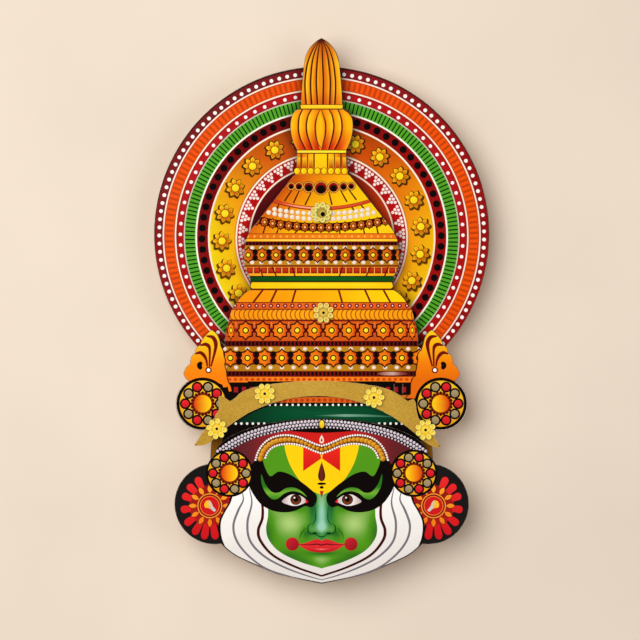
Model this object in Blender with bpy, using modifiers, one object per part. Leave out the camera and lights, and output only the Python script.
"""Wall plaque of a Kathakali dancer's head under a tall crown, cut from flat printed boards.

Units are metres. +Z is up and +X is to the viewer's right. The wall is the plane Y = 0, so the
plaque's back lies on it and its face looks along -Y. The origin is the middle of the halo's back.
"""

import math

import bmesh
import bpy

# Sheet thicknesses, and the clearance between layers that are glued together
BOARD = 0.0050
BAND_CARD = 0.0016
LAYER_GAP = 0.0003

# Fineness of round stretches: the longest straight step along an arc
ARC_STEP = 0.0042
FINE_STEP = 0.0020

# Halo: a full disc behind the crown
HALO_RADIUS = 0.1410
HALO_STEPS = 128

# Crown, right half, from the tip down. Each corner is (half width, height, rise), where rise is
# how far the arc to the next corner stands out from a straight line, and 0 is a straight edge.
FINIAL = ((0.0000, 0.1646, 0.0031), (0.0145, 0.1452, 0.0004), (0.0175, 0.1089, 0))
FINIAL_COLLAR = ((0.0181, 0.1088, 0), (0.0176, 0.1049, 0))
BULB = ((0.0182, 0.1048, 0.0013), (0.0241, 0.1013, 0.0005), (0.0263, 0.0918, 0.0015))
BULB_FOOT = ((0.0209, 0.0708, 0), (0.0214, 0.0706, 0), (0.0214, 0.0678, 0))
COLUMN = ((0.0208, 0.0677, 0), (0.0213, 0.0556, 0.0016), (0.0226, 0.0498, 0))
DOME = ((0.0239, 0.0490, 0), (0.0590, 0.0045, 0.0003), (0.0637, -0.0051, 0))
STAR_TIER = ((0.0638, -0.0068, 0.0010), (0.0648, -0.0271, 0.0004), (0.0603, -0.0360, 0))
DOME_FOOT = ((0.0603, -0.0458, 0), (0.0593, -0.0464, 0.0012))
WIDE_TIERS = (
    (0.0712, -0.0574, 0.0004),
    (0.0758, -0.0639, 0.0003),
    (0.0778, -0.0723, 0.0010),
    (0.0811, -0.0904, 0),
    (0.0815, -0.0946, 0),
    (0.0831, -0.0962, 0),
)
WING = (
    (0.0847, -0.0944, 0.0023),
    (0.0925, -0.0805, 0.0007),
    (0.1015, -0.0908, 0),
    (0.1017, -0.0932, 0.0007),
    (0.1056, -0.0966, 0),
    (0.1063, -0.1002, 0.0009),
    (0.1099, -0.1048, 0.0003),
    (0.1105, -0.1094, 0.0008),
    (0.1152, -0.1149, 0.0004),
    (0.1159, -0.1184, 0.0007),
)

# Round ornaments: (half width and height of the middle), radius
UPPER_DISC = (0.1000, -0.1426)
UPPER_DISC_RADIUS = 0.0226
UPPER_DISC_ARC = (59, -110)
LOWER_DISC = (0.0776, -0.2008)
LOWER_DISC_RADIUS = 0.0195
LOWER_DISC_ARC = (53, 23)
EAR_DISC = (0.0896, -0.2265)
EAR_DISC_RADIUS = 0.0338
EAR_DISC_ARC = (79.6, -98.9)

# Tongue of the crown board that carries the face board
TONGUE = (
    (0.0922, -0.1680, 0),
    (0.0935, -0.1870, 0),
    (0.0935, -0.1960, 0.0010),
    (0.0740, -0.2380, 0.0110),
    (0.0000, -0.2680, 0),
)

# Face board: a half ellipse for the headband, then discs, then the beard down to the chin
HEADBAND_HALF_WIDTH = 0.0890
HEADBAND_RISE = 0.0302
HEADBAND_SPRING = -0.1851
HEADBAND_STEPS = 40
BEARD = ((0.0692, -0.2718, 0.0002), (0.0380, -0.2852, 0.0003), (0.0000, -0.2934, 0))
BEARD_SHOULDER_RISE = 0.0009

# Gold band, clockwise from its left tail. It is cut by hand, so its ends differ.
BAND_TOP = (
    (-0.1075, -0.1778, 0.0008),
    (-0.0904, -0.1546, 0.0003),
    (-0.0866, -0.1484, -0.0003),
    (-0.0868, -0.1379, 0.0008),
    (-0.0842, -0.1357, 0),
    (-0.0770, -0.1403, -0.0004),
    (-0.0696, -0.1342, 0.0005),
    (-0.0570, -0.1286, 0.0054),
    (0.0490, -0.1284, 0.0012),
    (0.0685, -0.1374, 0),
    (0.0725, -0.1403, 0),
    (0.0769, -0.1383, 0.0008),
    (0.0792, -0.1435, -0.0004),
    (0.0818, -0.1551, 0.0003),
    (0.0954, -0.1710, -0.0003),
)
BAND_FOOT = (
    (0.1004, -0.1788, 0.0005),
    (0.0945, -0.1793, 0.0004),
    (0.0838, -0.1731, -0.0368),
    (-0.0911, -0.1731, 0.0009),
    (-0.1005, -0.1778, 0.0002),
)

# Stamped flower caps: (x, z), number of lobes, turn in degrees. The first two lie on the crown
# board and the others on the band.
CAPS = {
    "flower_cap_dome": (-0.0003, 0.0180, 9, 0),
    "flower_cap_crown": (0.0015, -0.0662, 8, 22.5),
    "flower_cap_band_left": (-0.0478, -0.1342, 8, 22.5),
    "flower_cap_band_right": (0.0439, -0.1373, 8, 0),
    "flower_cap_tail_left": (-0.0880, -0.1636, 8, 8),
    "flower_cap_tail_right": (0.0872, -0.1646, 8, 20),
}
CAPS_ON_CROWN = ("flower_cap_dome", "flower_cap_crown")
CAP_HOLE_RADIUS = 0.0009
CAP_WEB_RADIUS = 0.0064
CAP_LOBE_CENTRE = 0.0066
CAP_LOBE_RADIUS = 0.0023
CAP_SHEET = 0.0005
CAP_STEPS_PER_LOBE = 6
# Height of the stamped sheet at fractions of the way from the hole to the rim
CAP_PROFILE = ((0.0, 0.0006), (0.30, 0.0011), (0.58, 0.0025), (0.78, 0.0006), (1.0, 0.0021))

# Depths of the layers in front of the wall
HALO_BACK = 0.0
CROWN_BACK = HALO_BACK + BOARD + LAYER_GAP
OVER_CROWN = CROWN_BACK + BOARD + LAYER_GAP
OVER_BAND = OVER_CROWN + BAND_CARD + LAYER_GAP


def clear_scene():
    for obj in list(bpy.data.objects):
        bpy.data.objects.remove(obj, do_unlink=True)


def new_collection(name):
    collection = bpy.data.collections.new(name)
    bpy.context.scene.collection.children.link(collection)
    return collection


def new_material(name, colour, roughness, metallic=0.0):
    material = bpy.data.materials.new(name)
    material.use_nodes = True
    shader = material.node_tree.nodes["Principled BSDF"]
    shader.inputs["Base Color"].default_value = (*colour, 1.0)
    shader.inputs["Roughness"].default_value = roughness
    shader.inputs["Metallic"].default_value = metallic
    return material


def bow(start, end, rise, step=ARC_STEP):
    """Points along the arc from start to end, without the end. The arc stands out by rise to the
    left of the line, which is outwards on an outline that is drawn clockwise."""
    (x0, z0), (x1, z1) = start, end
    chord = math.hypot(x1 - x0, z1 - z0)
    if abs(rise) < 1e-9:
        return [start]
    half_turn = 2 * math.atan2(2 * rise, chord)
    radius = chord / (2 * math.sin(half_turn))
    count = max(2, math.ceil(abs(2 * half_turn * radius) / step))
    along = ((x1 - x0) / chord, (z1 - z0) / chord)
    left = (-along[1], along[0])
    points = []
    for i in range(count):
        turn = half_turn * (2 * i / count - 1)
        forward = chord / 2 + radius * math.sin(turn)
        out = rise - radius * (1 - math.cos(turn))
        points.append(
            (
                x0 + along[0] * forward + left[0] * out,
                z0 + along[1] * forward + left[1] * out,
            )
        )
    return points


def edge(corners, step=ARC_STEP):
    """The points of a run of (x, z, rise) corners, ending with the last corner."""
    points = []
    for (x0, z0, rise), (x1, z1, _) in zip(corners, corners[1:]):
        points += bow((x0, z0), (x1, z1), rise, step)
    return points + [corners[-1][:2]]


def arc(middle, radius, from_deg, to_deg, step=ARC_STEP):
    """Points on a circle, from one angle to another, both included."""
    start, end = math.radians(from_deg), math.radians(to_deg)
    count = max(2, math.ceil(abs(end - start) * radius / step))
    turns = [start + (end - start) * i / count for i in range(count + 1)]
    return [(middle[0] + radius * math.cos(t), middle[1] + radius * math.sin(t)) for t in turns]


def both_sides(right_half):
    """A whole outline from its right half, which starts and ends on the middle line."""
    return right_half + [(-x, z) for x, z in reversed(right_half[1:-1])]


def crown_outline():
    tiers = FINIAL + FINIAL_COLLAR + BULB + BULB_FOOT + COLUMN + DOME + STAR_TIER + DOME_FOOT
    disc = arc(UPPER_DISC, UPPER_DISC_RADIUS, *UPPER_DISC_ARC)
    down = edge(tiers + WIDE_TIERS + WING + ((*disc[0], 0),), FINE_STEP)
    return both_sides(down[:-1] + disc + edge(TONGUE))


def face_outline():
    quarter = [math.radians(90 * (1 - i / HEADBAND_STEPS)) for i in range(HEADBAND_STEPS)]
    headband = [
        (HEADBAND_HALF_WIDTH * math.cos(t), HEADBAND_SPRING + HEADBAND_RISE * math.sin(t))
        for t in quarter
    ]
    disc = arc(LOWER_DISC, LOWER_DISC_RADIUS, *LOWER_DISC_ARC, FINE_STEP)
    ear = arc(EAR_DISC, EAR_DISC_RADIUS, *EAR_DISC_ARC)
    beard = edge(((*ear[-1], BEARD_SHOULDER_RISE),) + BEARD)
    headband[0] = (0.0, headband[0][1])
    return both_sides(headband + disc[:-1] + ear[:-1] + beard)


def band_outline():
    return edge(BAND_TOP + BAND_FOOT + BAND_TOP[:1], FINE_STEP)[:-1]


def halo_outline():
    turns = [2 * math.pi * i / HALO_STEPS for i in range(HALO_STEPS)]
    return [(HALO_RADIUS * math.cos(t), HALO_RADIUS * math.sin(t)) for t in turns]


def cut_sheet(name, outline, back, thickness, material, collection):
    """A flat piece with this outline, standing in the XZ plane with its back at depth back."""
    curve = bpy.data.curves.new(name, "CURVE")
    curve.dimensions = "2D"
    curve.fill_mode = "BOTH"
    curve.extrude = thickness / 2
    spline = curve.splines.new("POLY")
    spline.points.add(len(outline) - 1)
    for point, (x, z) in zip(spline.points, outline):
        point.co = (x, z, 0.0, 1.0)
    spline.use_cyclic_u = True
    sheet = bpy.data.objects.new(name, curve)
    sheet.rotation_euler = (math.radians(90), 0.0, 0.0)
    sheet.location = (0.0, -(back + thickness / 2), 0.0)
    curve.materials.append(material)
    collection.objects.link(sheet)
    return sheet


def cap_rim(turn, lobes):
    """Radius of a flower cap's rim: round lobes standing out past a plain web."""
    pitch = 2 * math.pi / lobes
    off = (turn + pitch / 2) % pitch - pitch / 2
    reach = CAP_LOBE_RADIUS**2 - (CAP_LOBE_CENTRE * math.sin(off)) ** 2
    if reach < 0:
        return CAP_WEB_RADIUS
    return max(CAP_WEB_RADIUS, CAP_LOBE_CENTRE * math.cos(off) + math.sqrt(reach))


def flower_cap_mesh(name, lobes):
    """An open stamped sheet round a hole: rings of points, each scaled from the hole to the rim."""
    steps = CAP_STEPS_PER_LOBE * lobes
    shape = bmesh.new()
    rings = []
    for share, height in CAP_PROFILE:
        ring = []
        for i in range(steps):
            turn = 2 * math.pi * i / steps
            radius = CAP_HOLE_RADIUS + share * (cap_rim(turn, lobes) - CAP_HOLE_RADIUS)
            place = (radius * math.cos(turn), -height, radius * math.sin(turn))
            ring.append(shape.verts.new(place))
        rings.append(ring)
    for inner, outer in zip(rings, rings[1:]):
        for i in range(steps):
            j = (i + 1) % steps
            shape.faces.new((inner[i], inner[j], outer[j], outer[i]))
    bmesh.ops.recalc_face_normals(shape, faces=shape.faces)
    shape.normal_update()
    if sum(face.normal.y for face in shape.faces) > 0:
        bmesh.ops.reverse_faces(shape, faces=shape.faces)
    mesh = bpy.data.meshes.new(name)
    shape.to_mesh(mesh)
    shape.free()
    return mesh


def flower_cap(name, x, z, lobes, turn_deg, back, material, collection):
    mesh = flower_cap_mesh(name, lobes)
    mesh.materials.append(material)
    cap = bpy.data.objects.new(name, mesh)
    cap.location = (x, -back, z)
    cap.rotation_euler = (0.0, math.radians(turn_deg), 0.0)
    sheet = cap.modifiers.new("sheet", "SOLIDIFY")
    sheet.thickness = CAP_SHEET
    sheet.offset = -1.0
    collection.objects.link(cap)
    return cap


def build():
    clear_scene()
    plaque = new_collection("kathakali_wall_plaque")
    halo_red = new_material("halo_red", (0.55, 0.03, 0.04), 0.25)
    crown_orange = new_material("crown_orange", (0.90, 0.33, 0.02), 0.25)
    face_green = new_material("face_green", (0.13, 0.42, 0.05), 0.25)
    gold_card = new_material("gold_card", (0.62, 0.42, 0.13), 0.55, 0.6)
    gold_cap = new_material("gold_cap", (0.85, 0.62, 0.12), 0.30, 1.0)

    cut_sheet("halo_board", halo_outline(), HALO_BACK, BOARD, halo_red, plaque)
    cut_sheet("crown_board", crown_outline(), CROWN_BACK, BOARD, crown_orange, plaque)
    cut_sheet("face_board", face_outline(), OVER_CROWN, BOARD, face_green, plaque)
    cut_sheet("gold_band", band_outline(), OVER_CROWN, BAND_CARD, gold_card, plaque)
    for name, (x, z, lobes, turn) in CAPS.items():
        back = OVER_CROWN if name in CAPS_ON_CROWN else OVER_BAND
        flower_cap(name, x, z, lobes, turn, back, gold_cap, plaque)


build()
